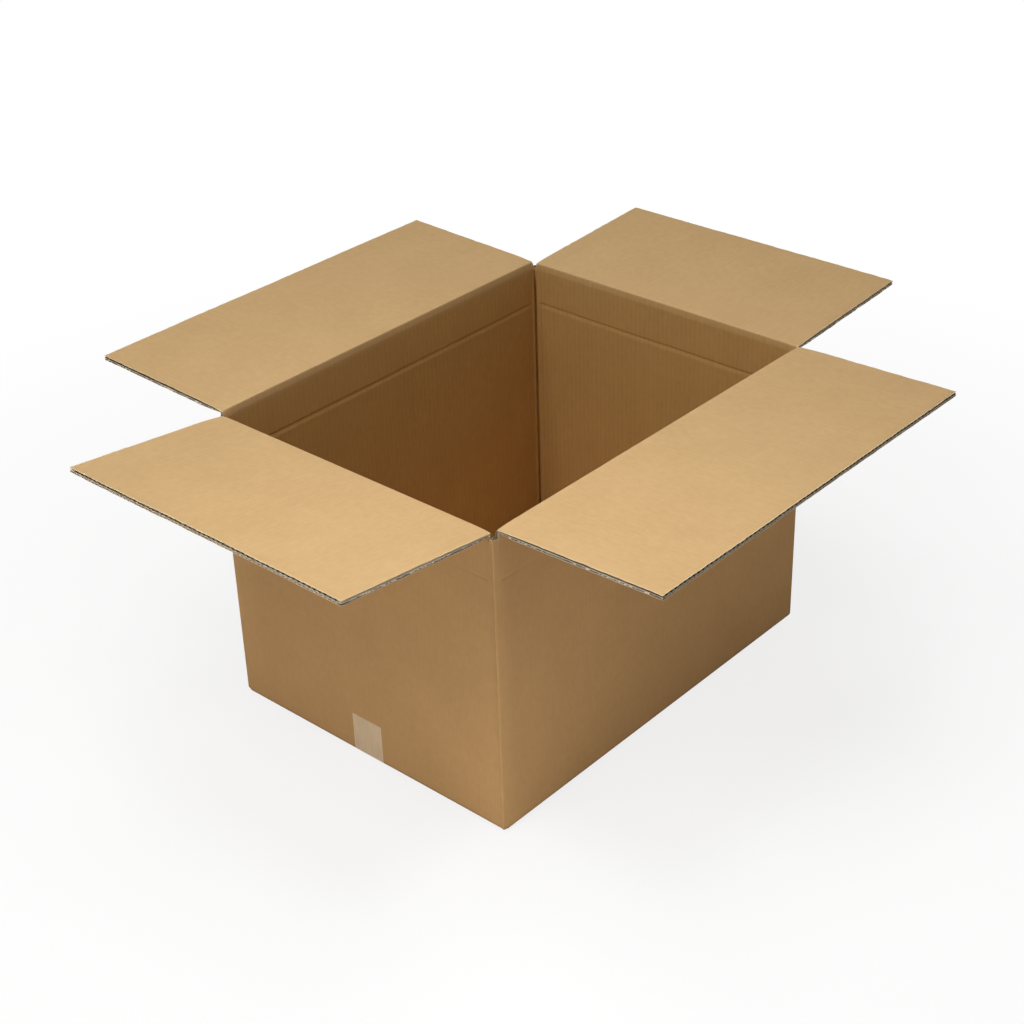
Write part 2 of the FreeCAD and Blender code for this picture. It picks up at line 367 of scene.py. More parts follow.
def kraft(name, light, dark, pitch, ribs, rib_tint, streak_tint, seed, deep=None):
    """Kraft liner: fibres, soft mottling, and the board's wave showing through as ribs.
    The inside is given, as deep, a painted shade that makes its walls darker and warmer below the
    flaps. The outside has none, but gets a painted contact shadow at its foot and painted shade and
    highlight at its folded corners. Both are paler along cut edges from wear, and on the flaps'
    crease as a painted highlight."""
    n = Nodes(name)
    across, height, depth = n.flat_parts()
    fibres = n.noise(n.flat((1, 0.45, 1)), 1500, 4.0, 0.65)
    clouds = n.noise(n.flat((1, 1, 1 + seed)), 14)
    blotches = n.noise(n.flat((1, 0.6, 1)), 130, 4.0, 0.6)
    streaks = n.noise(n.flat((1, 0.05, 1)), 240, 2.0)
    specks = n.noise(n.flat((1, 0.5, 1)), 620, 2.0, 0.5)
    wave = n.maths("SINE", n.maths("MULTIPLY", across, 2 * math.pi / (pitch * MM)))
    rib_share = n.maths("MULTIPLY", wave, n.spread(streaks, 0.3, 0.7, 0.5, 1.0))
    streak_share = n.spread(streaks, 0.3, 0.7)
    if deep:
        # Painted shade and warm bounce light: below the flaps the inside is darkened and warmed by
        # deep
        below = n.spread(height, *INNER_SHADE_FADE, 1.0, 0.0)
        rib_share = n.maths("MULTIPLY", rib_share, n.spread(below, 0.0, 1.0, 0.3, 1.0))
        streak_share = n.maths("MULTIPLY", streak_share, n.spread(below, 0.0, 1.0, 0.4, 1.2))
    tone = n.total(
        (n.spread(fibres, 0.25, 0.75), 0.40), (n.spread(blotches, 0.3, 0.7), 0.24),
        (n.spread(clouds, 0.3, 0.7), 0.18), (streak_share, streak_tint), (rib_share, rib_tint),
        clamp=True,
    )
    colour = n.mix(tone, dark, light)
    colour = n.mix(n.spread(specks, 0.68, 0.76, 0.0, 0.45), colour, rgb(196, 176, 150), "MULTIPLY")
    colour = n.mix(n.spread(specks, 0.31, 0.25, 0.0, 0.35), colour, rgb(70, 62, 50), "SCREEN")
    # Paler towards cut edges from wear, and on the flaps' crease as a painted highlight
    wear_and_crease_highlight = n.spread(depth, 0.5 * PALE_WEAR_AND_HIGHLIGHT * MM, PALE_WEAR_AND_HIGHLIGHT * MM, 0.0, 0.55)
    colour = n.mix(wear_and_crease_highlight, colour, rgb(232, 212, 174))
    # Painted shade below the flaps
    if deep:
        colour = n.mix(below, colour, deep, "MULTIPLY")
    else:
        colour = paint_foot_shadow_and_corner_light(n, colour, across, height)
    relief = n.total((rib_share, ribs), (fibres, 0.10), (blotches, 0.05))
    return n.surface(colour, n.spread(blotches, 0.3, 0.7, 0.82, 0.94), 0.06, relief, 0.001, 0.35)


def raw_paper(name, light, dark):
    """Cut edges and the waves: greyer paper with loose fibres and a little dirt. With the waves' dark
    colours it is mostly painted shade of the hollows between the liners.
    """
    n = Nodes(name)
    fibres = n.noise(n.flat(), 1900, 4.0, 0.7)
    patches = n.noise(n.flat(), 260, 3.0, 0.6)
    tone = n.total((n.spread(fibres, 0.3, 0.7), 0.5), (n.spread(patches, 0.3, 0.7), 0.5))
    return n.surface(n.mix(tone, dark, light), 0.9, 0.15, fibres, 0.0005, 0.4)


def tape_film(name):
    """Thin packing tape: milky over the board, with fine lengthwise bands and paler edges,
    and the seam of the bottom flaps painted on it as a dark line of shade."""
    n = Nodes(name)
    across, along, _ = n.flat_parts()
    bands = n.noise(n.flat((1, 0.04, 1)), 420)
    patches = n.noise(n.flat((1, 0.6, 1)), 60)
    tone = n.total((bands, 0.5), (patches, 0.5))
    colour = n.mix(n.spread(tone, 0.35, 0.65), rgb(192, 167, 134), rgb(209, 184, 152))
    from_middle = n.maths("ABSOLUTE", across)
    colour = n.mix(n.spread(from_middle, *TAPE_EDGE, 0.0, 0.45), colour, rgb(222, 198, 166))
    after_start = n.maths("GREATER_THAN", along, SEAM_ENDS[0])
    under_box = n.maths("MULTIPLY", after_start, n.maths("LESS_THAN", along, SEAM_ENDS[1]))
    # Painted shade of the seam's gap, as a dark line along the tape's middle under the box
    seam_shade = n.maths("MULTIPLY", n.spread(from_middle, *TAPE_SEAM_SHADE, 0.0, 0.7), under_box)
    colour = n.mix(seam_shade, colour, rgb(88, 66, 44))
    return n.surface(colour, n.spread(patches, 0.3, 0.7, 0.34, 0.46), 0.25, bands, 0.0004, 0.2)


# Outside liner: it gets the painted foot shadow and the folded corners' painted shade and highlight
OUTSIDE = kraft(
    "kraft_outside", rgb(190, 151, 102), rgb(166, 129, 85), FINE_PITCH,
    ribs=0.07, rib_tint=0.03, streak_tint=0.05, seed=0.0,
)
# Inside liner: its deep tint is painted shade and warm bounce light on the walls below the flaps
INSIDE = kraft(
    "kraft_inside", rgb(207, 173, 125), rgb(184, 151, 106), COARSE_PITCH,
    ribs=0.30, rib_tint=0.10, streak_tint=0.08, seed=2.0, deep=(0.91, 0.82, 0.61, 1),
)
RAW = raw_paper("raw_paper", rgb(240, 228, 206), rgb(198, 180, 152))
# Wave paper: greyer paper made much darker, as painted shade of the hollows between the liners
WAVE_SHADE_PAPER = raw_paper("wave_paper", rgb(118, 98, 70), rgb(64, 50, 34))
FILM = tape_film("tape_film")
BOARD_MATERIALS = [OUTSIDE, INSIDE, RAW, WAVE_SHADE_PAPER]


# Flaps


class Fold:
    """Section through a wall's top, its crease and its flap: u outwards from the wall, z up."""

    def __init__(self, wall):
        direction, self.half, run, self.middle = WALLS[wall]
        self.wall = wall
        self.outward = np.array(direction, float)
        self.along = np.array([-direction[1], direction[0]], float)
        joint = JOINTS[f"{wall}_crease"]
        place = np.array(joint["pos_m"]) / MM
        self.pivot = np.array([place[:2] @ self.outward - self.half, place[2]])
        self.offset = HINGE_CLEAR - self.pivot[0]

        # The flap is raised from level by lift, and its faces run across, square to normal
        lift = math.radians(-90 - joint["range_deg"][0])
        self.across = np.array([math.cos(lift), math.sin(lift)])
        self.normal = np.array([-math.sin(lift), math.cos(lift)])

        # Centre of the bend, where the flap's straight part starts, the crease of the outer
        # liner, and the point about which the inner one turns
        rise = self.offset + BOARD - BEND + math.sin(lift) * (BEND - BOARD - self.pivot[0])
        self.centre = np.array([BEND - BOARD, self.pivot[1] + rise / math.cos(lift)])
        self.start = self.across @ (self.centre - self.pivot)
        crease = self.pivot[1] + (self.offset - math.sin(lift) * self.pivot[0]) / math.cos(lift)
        self.crease = np.array([-PRESSED, crease + PRESSED])
        top = self.pivot + self.normal * (self.offset + BOARD)
        self.turning = top + self.across * (LEAN - BOARD - top[0]) / self.across[0]

        self.half_run = run - SLOT_SIDE
        self.crushing = CRUSHING[wall]
        kind = "long" if run == HALF_LENGTH else "short"
        node = frame["nodes"][f"{kind}_flap_{wall}"]
        self.node = node.name
        spots = np.array([vertex.co for vertex in node.data.vertices]) / MM
        spots = np.stack([spots[:, :2] @ self.outward - self.half, spots[:, 2]], axis=1)
        self.tip = ((spots - self.pivot) @ self.across).max() - self.start + FOLD_RUN

    def section(self, run, depth):
        """(u, z) of a point at that run along the sheet and depth from its outer face."""
        run, depth = np.broadcast_arrays(run, depth)
        wall = np.stack([-depth, self.centre[1] + run], axis=-1)
        ahead = (self.start + run - FOLD_RUN)[..., None]
        rise = (self.offset + depth)[..., None]
        flap = self.pivot + self.across * ahead + self.normal * rise
        share = np.clip(run / FOLD_RUN, 0, 1)[..., None]
        left = 1 - share
        first = np.array([0, self.centre[1]])
        last = self.pivot + self.across * self.start + self.normal * self.offset
        outer = first * left ** 3 + self.crease * 3 * share * left + last * share ** 3
        low_end = first - [BOARD, 0]
        high_end = last + self.normal * BOARD
        pull = 2 * TIGHTNESS * share * left
        inner = low_end * left ** 2 + self.turning * pull + high_end * share ** 2
        inner = inner / (left ** 2 + pull + share ** 2)
        fold = outer + (inner - outer) * (depth / BOARD)[..., None]
        run = run[..., None]
        return np.where(run <= 0, wall, np.where(run >= FOLD_RUN, flap, fold))

    def place(self, side, run, depth):
        """Points in the row frame."""
        flat = self.section(run, depth)
        ground = self.outward * (self.half + flat[..., :1]) + self.along * side[..., None]
        return np.concatenate([ground, flat[..., 1:]], axis=-1)


def edge_steps(half_run, spacing, near):
    """Places from one side edge to the other, closer together towards both."""
    inner = half_run - near[-1]
    count = max(2, round(2 * inner / spacing))
    middle = np.linspace(-inner, inner, count + 1)
    ends = half_run - np.array(near[:-1])
    return np.concatenate([-ends, middle, ends[::-1]])


def flap_runs(fold):
    """Places from the wall strip to the flap's tip, for the waves and, closer, the liners."""
    beside_fold = FOLD_RUN + np.array([1.5, 4, 8, 14, 22, 34])
    start = np.concatenate([[-WALL_STRIP, -1.0], np.linspace(0, FOLD_RUN, 15), beside_fold])
    tip = fold.tip - np.array([4.0, 2.0, 1.0, 0.0])
    return [
        np.concatenate([start, np.linspace(FOLD_RUN + 50, fold.tip - 8, count), tip])
        for count in (10, 60)
    ]


def crushed(depth, side, run, fold, seed):
    """Depth after the cuts: edges pinched a little, and flat where a slot meets the crease."""
    from_side = fold.half_run - np.abs(side)
    from_tip = fold.tip - run
    corner = fold.crushing * bump(run, FOLD_RUN / 2, 16.0) * np.exp(-from_side / 6.5)
    corner = corner * np.clip((run + WALL_STRIP) / 6, 0, 1)
    depth = depth + (CRUSHED_LEVEL - depth) * corner
    wobble = 0.5 + 0.5 * wander(run + side * 1.7, 9.0, seed)
    pinch = wobble * (0.16 * np.exp(-from_side / 2.2) + 0.14 * np.exp(-from_tip / 2.0))
    return depth + (0.5 * BOARD - depth) * pinch


def warp(side, run, fold, seed):
    """Slow unevenness of an opened flap, square to its face."""
    free = np.clip((run - FOLD_RUN) / 90.0, 0, 1)
    ripple = 0.12 * wander(run + side, 45.0, seed + 1)
    return free * (0.35 * wander(side, 130.0, seed) + ripple)


def add_layer(pile, fold, sides, runs, low_depth, high_depth, slots, seed):
    """One layer of the board over wall strip, crease and flap, between two depths. Its cut
    edges are ragged, it is paler along them from wear, and paler on the crease as a painted
    highlight."""
    side, run = np.meshgrid(sides, runs)
    ragged = 0.28 * wander(run, 1.6, seed) + 0.2 * wander(run, 6.0, seed + 1)
    at_edge = (np.abs(side) > fold.half_run - TOUCH) & (run > 1)
    moved = side - np.sign(side) * np.where(at_edge, 0.25 + ragged, 0)
    ragged = 0.22 * wander(side, 1.4, seed + 2) + 0.15 * wander(side, 9.0, seed + 3)
    run_moved = run - np.where(run > fold.tip - TOUCH, 0.2 + ragged, 0)
    from_cut = np.minimum(fold.half_run - np.abs(side), np.abs(fold.tip - run))
    # Wear near cut edges, and a painted highlight along the crease
    wear_and_crease_highlight = PALE_WEAR_AND_HIGHLIGHT * (np.exp(-from_cut / 1.1) + 0.42 * bump(run, 0.54 * FOLD_RUN, 2.0))
    height = fold.centre[1] + run
    grids, flats = [], []
    for depth in (high_depth, low_depth):
        squeezed = crushed(np.broadcast_to(depth, side.shape), side, run, fold, seed % 7)
        lifted = squeezed + warp(side, run, fold, len(fold.node))
        grids.append(fold.place(moved, run_moved, lifted))
        flats.append(np.stack([fold.middle + side, height, depth + wear_and_crease_highlight], axis=-1))
    pile.slab(grids[0], grids[1], flats[0], flats[1], slots)


def add_waves(pile, fold, runs, seed):
    """Both waves of a flap, where a cut edge shows them: one wave wide along its sides, and
    between those strips near its tip. The coarse wave, and both waves at the sides, take the dark
    wave paper as painted shade of their hollows; the left flap's coarse wave is pale at its sides."""
    for low_level, high_level, pitch, steps, slot in WAVES:
        reach = fold.half_run - WAVE_INSET
        sides = np.linspace(-reach, reach, round(2 * fold.half_run / pitch * steps) + 1)
        middle = (low_level + high_level) / 2
        swing = (high_level - low_level - WAVE_PAPER) / 2
        phase = 2 * math.pi * (fold.middle + sides) / pitch
        uneven = 1 - 0.12 * np.abs(wander(sides, 20.0, seed + 30))
        height = (middle + swing * uneven * np.sin(phase))[None, :]
        # Dark wave paper, painted shade, at the sides, but pale paper on the left flap's coarse wave
        side_slot = EDGE if fold.wall == "left" and pitch == COARSE_PITCH else WAVE
        for part, part_runs, part_slot in (
            (slice(None, steps + 1), runs, side_slot),
            (slice(steps, -steps), runs[runs > fold.tip - WAVE_SHOWN], slot),
            (slice(-steps - 1, None), runs, side_slot),
        ):
            low = height[:, part] - WAVE_PAPER / 2
            slots = (part_slot, part_slot, EDGE)
            add_layer(
                pile, fold, sides[part], part_runs, low, low + WAVE_PAPER, slots, seed + 40 + steps,
            )


# Shreds of paper on a flap, and how far inside its side edges they start
FLAKES = 90
FLAKE_ROOT = 0.6


def add_flakes(pile, fold, seed):
    """Shreds of paper that the slot knife left on both side edges."""
    rng = np.random.default_rng(seed)
    edge = fold.half_run - FLAKE_ROOT
    for _ in range(FLAKES):
        sign = rng.choice([-1, 1])
        start = rng.uniform(FOLD_RUN + 4, fold.tip - 8)
        length = rng.uniform(0.8, 3.6)
        depth = rng.choice([LEVELS[2], LEVELS[3], 2.2])
        reach = rng.uniform(0.3, 1.1)
        fall = rng.uniform(-0.9, 0.5)
        side, run = np.meshgrid([edge, edge + FLAKE_ROOT + reach], [start, start + length])
        run = run + (side > edge) * rng.uniform(-0.4, 0.4)
        level = depth + (side > edge) * fall
        grids = [fold.place(sign * side, run, level + thick) for thick in (0.2, 0)]
        flat = np.stack([fold.middle + side, fold.centre[1] + run, level], axis=-1)
        pile.slab(grids[0], grids[1], flat, flat, (EDGE, EDGE, EDGE))


def make_flap(wall, seed):
    """Wall strip, crease and flap of one wall, as one sheet of five layers."""
    fold = Fold(wall)
    pile = Pile()
    wave_runs, liner_runs = flap_runs(fold)
    sides = edge_steps(fold.half_run, 5.0, (0, 0.6, 1.3, 2.5, 4.5, 8.0))
    for number, (low_level, high_level, slots) in enumerate(LINERS):
        add_layer(pile, fold, sides, liner_runs, low_level, high_level, slots, seed + 10 * number)
    add_waves(pile, fold, wave_runs, seed)
    add_flakes(pile, fold, seed + 60)
    piece = pile.mesh(f"flap_sheet_{wall}", BOARD_MATERIALS)
    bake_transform(piece)
    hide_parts(fold.node)
    return fold


# Folded body

# Section of a folded corner, from the face of one wall over its score line to the next
FOLDED_CORNER = [
    (7.35, 1.2), (7.4, 2.4), (7.75, 2.9), (7.9, 3.5), (7.6, 4.2), (6.8, 4.8), (5.6, 5.2),
    (4.0, 5.5), (2.0, 5.7),
]

# Section of the corner where the long front wall's raw edge meets the fold of the right
# wall: out from the front wall, then along to the right wall's face
RAW_CORNER = [
    (7.0, 3.0), (7.0, 5.5), (6.9, 6.5), (6.6, 6.9), (6.5, 5.4), (5.6, 4.9), (4.7, 5.4),
    (4.5, 6.85), (4.1, 6.85), (4.0, 5.1), (2.5, 4.5), (1.0, 5.1), (0.9, 6.8), (0.5, 6.8),
    (0.4, 4.6), (-0.1, 4.6), (-0.3, 5.6),
]

# Columns of points on a wall: places beside a corner, and the usual distance between two
CORNER_STEPS = np.array([0, 0.5, 1, 2, 3, 4.5, 6, 8, 11, 15, 21, 31, 43])
WALL_STEP = 24

# Rows of points on a wall: beside the crease across it, and above it
SCORE_ROWS = SCORE_HEIGHT + np.array(
    [-12, -8, -6, -4.5, -3.2, -2.2, -1.4, -0.7, 0, 0.7, 1.4, 2.2, 3.2, 5]
)
UPPER_ROWS = [368, 380, 392, 398]
INNER_FOOT = 4.0

# Section of the rim from the inner face to the outer one: depth below the outer face, and
# how far the point lies below the rim. After point MIDDLE_LINER comes the middle liner.
RIM = [
    (6.1, 0), (6.0, 1.8), (4.5, 2.4), (3.0, 1.8), (2.9, 0), (2.5, 0), (2.4, 1.6), (1.4, 2.0),
    (0.5, 1.6), (0.4, 0),
]
MIDDLE_LINER = 4


def perimeter():
    """Columns round the body, as arrays: outer and inner ground points, inward direction,
    place along the unfolded sheet, distance from the nearest inner corner, top of the board,
    and whether the outside eases in after a folded corner or bulges before one."""
    columns = []
    for wall, fold in FOLDS.items():
        half, run, middle = WALLS[wall][1:]
        straight = run - FOLD_RADIUS
        reach = straight - CORNER_STEPS[-1]
        between = np.linspace(-reach, reach, round(2 * reach / WALL_STEP) + 1)[1:-1]
        sides = [-straight + CORNER_STEPS, between, straight - CORNER_STEPS[::-1]]
        for side in np.concatenate(sides):
            gap = straight - abs(side)
            ground = fold.outward * half + fold.along * side
            raw_side = wall == "right" and side < 0
            inset = 0.9 * math.exp(-gap / 1.3) if raw_side else 0.0
            under_flap = gap > SLOT_SIDE - FOLD_RADIUS - TOUCH
            columns.append((
                ground - fold.outward * inset,
                ground - fold.outward * BOARD,
                -fold.outward,
                middle + side,
                gap + INNER_RADIUS,
                fold.centre[1] - WALL_STRIP if under_flap else POST_TOP,
                float(side < 0 and wall != "right"),
                float(side > 0 and wall != "front"),
            ))
        centre = fold.outward * (half - FOLD_RADIUS) + fold.along * straight
        corner = RAW_CORNER if wall == "front" else FOLDED_CORNER
        for number, (out, forth) in enumerate(corner, start=1):
            share = number / (len(corner) + 1)
            turn = share * math.pi / 2
            ray = fold.outward * math.cos(turn) + fold.along * math.sin(turn)
            columns.append((
                centre + fold.outward * out + fold.along * forth,
                centre + ray * INNER_RADIUS,
                -ray,
                middle + straight + share * 2 * FOLD_RADIUS,
                0.0,
                POST_TOP,
                0.0,
                0.0,
            ))
    return tuple(np.array(values) for values in zip(*columns))


def wall_rows():
    """Rows over a wall's section, each with its height and its share of the way from the
    inner face to the outer one: down the outside and round the fold at its foot, then up
    the inside. A row at the rim has no height, because the rim's height differs."""
    straight = np.linspace(FOLD_RADIUS, SCORE_HEIGHT - 16, 30)
    straight = np.concatenate([straight, SCORE_ROWS, UPPER_ROWS])
    out_rows = [(np.nan, 1)] + [(height, 1) for height in straight[::-1]]
    last = math.acos(INNER_RADIUS / FOLD_RADIUS)
    for angle in (*np.radians([15, 30, 45, 60, 75]), last):
        height = FOLD_RADIUS * (1 - math.sin(angle))
        out_rows.append((height, (FOLD_RADIUS * math.cos(angle) - INNER_RADIUS) / BOARD))
    in_rows = [(INNER_FOOT, 0)] + [(height, 0) for height in straight] + [(np.nan, 0)]
    return np.array(out_rows), np.array(in_rows)


def wall_push(along, z, near, eased, bulged):
    """How much further in than flat walls the inner and the outer face lie."""
    calm = np.clip((near - 6) / 60, 0, 1) * np.clip((z - 10) / 60, 0, 1)
    calm = calm * np.clip((396 - z) / 40, 0, 1)
    swell = 0.9 * calm * wander(along, 150.0, 11) * wander(z, 170.0, 12)
    ripple = 0.12 * calm * wander(along + 0.3 * z, 26.0, 13)
    below_rim = np.clip((398 - z) / 10, 0, 1)

    # Inside: a bead beside the groove of each corner, and the crease cut across the wall
    bead = (1.5 + 0.2 * wander(z, 30.0, 14)) * bump(near, 4.2, 1.3)
    groove = 1.9 * bump(near, 0.0, 1.4)
    line = SCORE_HEIGHT + 0.35 * wander(along, 60.0, 15)
    cut = 0.95 * bump(z, line, np.where(z > line, 1.1, 3.4)) - 0.22 * bump(z, line - 7, 2.4)
    cut = cut * np.clip((near - 7) / 6, 0, 1)
    inner_push = below_rim * (bead - groove - cut) + swell + ripple

    # Outside: a faint line along that crease, and walls that are not flat beside a corner
    faint = 0.9 * bump(z, SCORE_HEIGHT - 1.0, 1.4) * (0.12 + 0.88 * bump(near, 0, 38.0))
    faint = faint * np.clip(near - 4, 0, 1)
    ease = 1.3 * eased * np.clip(1 - near / 16, 0, 1) ** 2
    ease = ease - 0.35 * bulged * np.clip(1 - near / 13, 0, 1) ** 2
    ease = ease * np.clip((z - FOLD_RADIUS) / 25, 0, 1)
    outer_push = below_rim * (faint + ease) + swell + ripple
    return inner_push, outer_push


def make_body():
    """Four walls with the scored corners and creases, closed at the bottom by the flaps. The
    rows of points go down the outside, up the inside and back over the rim."""
    outer, inner, inward, places, from_corner, tops, eased, bulged = perimeter()
    out_rows, in_rows = wall_rows()
    upright = np.count_nonzero(out_rows[:, 1] == 1)
    start = len(out_rows)
    end = start + len(in_rows)
    heights, shares = np.concatenate([out_rows, in_rows]).T
    rim_depth, rim_drop = np.array(RIM).T
    z = np.where(np.isnan(heights)[:, None], tops, heights[:, None])
    z = np.concatenate([z, tops - rim_drop[:, None]])
    shares = np.concatenate([shares, 1 - rim_depth / BOARD])[:, None]
    along = np.broadcast_to(places, z.shape)
    near = np.broadcast_to(from_corner, z.shape)
    inner_push, outer_push = wall_push(along, z, near, eased, bulged)
    push = np.zeros(z.shape)
    push[:upright] = outer_push[:upright]
    push[start:end] = inner_push[start:end]
    ground = inner + shares[..., None] * (outer - inner) + inward * push[..., None]
    points = np.concatenate([ground, z[..., None]], axis=-1)
    depth = np.broadcast_to((1 - shares) * BOARD, z.shape)
    pile = Pile()
    grid = pile.add(points, np.stack([along, z, depth], axis=-1)) + np.arange(z.size).reshape(z.shape)
    following = np.roll(grid, -1, axis=1)
    rows = len(z)
    slots = np.full(rows, EDGE)
    slots[: start - 1] = OUT
    slots[start - 1 : end - 1] = IN
    # The rim's cut edge takes the dark wave paper, painted shade of the hollows between the liners,
    # except at the middle liner
    slots[end : rows - 1] = WAVE
    slots[end + MIDDLE_LINER] = EDGE
    for row in range(rows):
        below = (row + 1) % rows
        quads = np.stack([grid[row], following[row], following[below], grid[below]], axis=-1)
        pile.quads(quads[:, ::-1], slots[row])
    add_floor(pile)
    add_lap(pile)
    body = pile.mesh("carton_sheet", BOARD_MATERIALS)
    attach(body, "carton")
    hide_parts("carton_body")


# Bottom flaps: reach of the short ones from their wall, gap of the seam between the long
# ones, gap at the long ones' sides, gap below the short ones and rise of their free ends, and
# where each kind's middle lies along the unfolded sheet
FLOOR_REACH = 224.0
SEAM_GAP = 3.0
END_GAP = 1.5
LAYER_GAP = 0.4
FREE_RISE = 0.5
LONG_PLACE = 1900
SHORT_PLACE = 900


def add_board(pile, place, length, width, seed, deep=30.0):
    """Flat panel whose far end shows its layers: place maps (along, across, level) to points
    and to places on the sheet, and the waves reach deep in from that end."""

    def layer(sides, runs, low_level, high_level, slots):
        across, along = np.meshgrid(sides, runs)
        at_end = along > length - TOUCH
        along = along - np.where(at_end, 0.2 + 0.2 * wander(across, 1.5, seed), 0)
        front, back = (
            place(along, across, np.broadcast_to(level, along.shape))
            for level in (high_level, low_level)
        )
        pile.slab(front[0], back[0], front[1], back[1], slots)

    sides = np.linspace(-width / 2, width / 2, round(width / 8) + 1)
    runs = np.concatenate([np.linspace(0, length - 12, 8), length - np.array([6, 3, 1.2, 0])])
    for low_level, high_level, slots in LINERS:
        layer(sides, runs, low_level, high_level, slots)
    for low_level, high_level, pitch, steps, slot in WAVES:
        reach = width / 2 - WAVE_INSET
        sides = np.linspace(-reach, reach, round(width / pitch * steps) + 1)
        middle = (low_level + high_level) / 2
        swing = (high_level - low_level - WAVE_PAPER) / 2
        low = (middle + swing * np.sin(2 * math.pi * sides / pitch))[None, :] - WAVE_PAPER / 2
        runs = length - np.array([deep, deep / 2, 4, 0])
        layer(sides, runs, low, low + WAVE_PAPER, (slot, slot, EDGE))


def add_floor(pile):
    """Bottom flaps: the long ones outside, the short ones folded in over them."""
    long_width = 2 * (HALF_LENGTH - BOARD - END_GAP)
    for sign in (-1, 1):

        def long_place(along, across, level, sign=sign):
            y = sign * (HALF_WIDTH - BOARD - along)
            points = np.stack([across, y, level], axis=-1)
            return points, np.stack([across + LONG_PLACE * sign, -along, level], axis=-1)

        reach = HALF_WIDTH - BOARD - SEAM_GAP / 2
        add_board(pile, long_place, reach, long_width, 70 + sign, deep=20.0)

        def short_place(along, across, level, sign=sign):
            x = sign * (HALF_LENGTH - BOARD - along)
            z = BOARD + LAYER_GAP + level + FREE_RISE * np.clip(along / 200, 0, 1) ** 2
            points = np.stack([x, across, z], axis=-1)
            return points, np.stack([across + SHORT_PLACE * sign, -along, level], axis=-1)

        add_board(pile, short_place, FLOOR_REACH - BOARD, 2 * (HALF_WIDTH - SLOT_SIDE), 80 + sign)


# Glue lap: width, thickness of its crushed board, foot and head at the fold, what each end
# tapers by, how far its back lies inside the wall, and its place along the unfolded sheet
LAP_WIDTH = 40.0
LAP_BOARD = 4.0
LAP_FOOT = 24.0
LAP_HEAD = 390.0
LAP_TAPER = 14.0
LAP_SUNK = 0.3
LAP_PLACE = 2400


def add_lap(pile):
    """Glue lap of the right wall, crushed thin, inside the front wall."""
    across = np.array([0, 1.0, 2.5, 4, 7, 12, 20, 28, 34, 37, 39, LAP_WIDTH])
    run, level = np.meshgrid(across, np.linspace(0, 1, 40))
    foot = LAP_FOOT + LAP_TAPER * run / LAP_WIDTH
    head = LAP_HEAD - LAP_TAPER * run / LAP_WIDTH
    z = foot + (head - foot) * level
    x = HALF_LENGTH - BOARD - run - 0.3 * wander(z, 14.0, 21) * (run > LAP_WIDTH - 0.1)
    from_edge = np.minimum(LAP_WIDTH - run, np.minimum(z - foot, head - z))
    thick = LAP_BOARD * (0.55 + 0.45 * np.clip(from_edge / 6, 0, 1))
    thick = thick + 0.15 * wander(z, 18.0, 22)
    y = BOARD - HALF_WIDTH
    front = np.stack([x, y + thick, z], axis=-1)
    back = np.stack([x, np.full(x.shape, y - LAP_SUNK), z], axis=-1)
    flat = np.stack([run + LAP_PLACE, z, np.zeros(x.shape)], axis=-1)
    pile.slab(front, back, flat, flat, (IN, IN, EDGE))


# Tape: width and the narrow band along each edge, height up the short walls, and how far its
# outer face stands proud of the board and of its inner face
TAPE_WIDTH = 50.0
TAPE_BAND = 0.4
TAPE_RISE = 59.0
TAPE_PROUD = 0.12
TAPE_FILM = 0.06


def make_tape():
    """Film over the bottom seam and up both short walls."""
    rise = np.linspace(TAPE_RISE, FOLD_RADIUS, 12)
    bend = np.radians(np.linspace(0, 90, 9))[1:-1]
    flat_run = np.linspace(-HALF_LENGTH + FOLD_RADIUS, HALF_LENGTH - FOLD_RADIUS, 30)
    half = TAPE_WIDTH / 2
    band = np.array([half, half - TAPE_BAND])
    sides = np.concatenate([-band, np.linspace(1 - half, half - 1, 17), band[::-1]])
    grids, flats = [], []
    for lift in (TAPE_PROUD, TAPE_PROUD - TAPE_FILM):
        radius = FOLD_RADIUS + lift
        up_wall = [(-HALF_LENGTH - lift, z) for z in rise]
        for angle in bend:
            x = FOLD_RADIUS - HALF_LENGTH - radius * math.cos(angle)
            up_wall.append((x, FOLD_RADIUS - radius * math.sin(angle)))
        under = [(x, -lift) for x in flat_run]
        path = np.array(up_wall + under + [(-x, z) for x, z in reversed(up_wall)])
        run = np.concatenate([[0], np.cumsum(np.linalg.norm(np.diff(path, axis=0), axis=1))])
        side, along = np.meshgrid(sides, run)
        x = np.broadcast_to(path[:, :1], side.shape)
        z = np.broadcast_to(path[:, 1:], side.shape).copy()
        z[0] += 0.25 * wander(sides, 1.2, 31)
        z[-1] += 0.25 * wander(sides, 1.2, 32)
        grids.append(np.stack([x, side, z], axis=-1))
        flats.append(np.stack([side, along, np.zeros(side.shape)], axis=-1))
    pile = Pile()
    pile.slab(grids[0], grids[1], flats[0], flats[1], (0, 0, 0))
    tape = pile.mesh("tape_strip", [FILM])
    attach(tape, "carton")
    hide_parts("bottom_tape")


FOLDS = {wall: make_flap(wall, 100 * number) for number, wall in enumerate(WALLS, start=1)}
make_body()
make_tape()


# Studio: pale floor, soft lights and the camera, in metres

# Floor: radius, corners of its outline, depth below the box, and how far from the box it
# turns from its lit colour to plain white
FLOOR_RADIUS = 9
FLOOR_CORNERS = 64
FLOOR_DROP = 0.0003
FLOOR_FADE = (0.5, 1.4)

WORLD_STRENGTH = 0.27

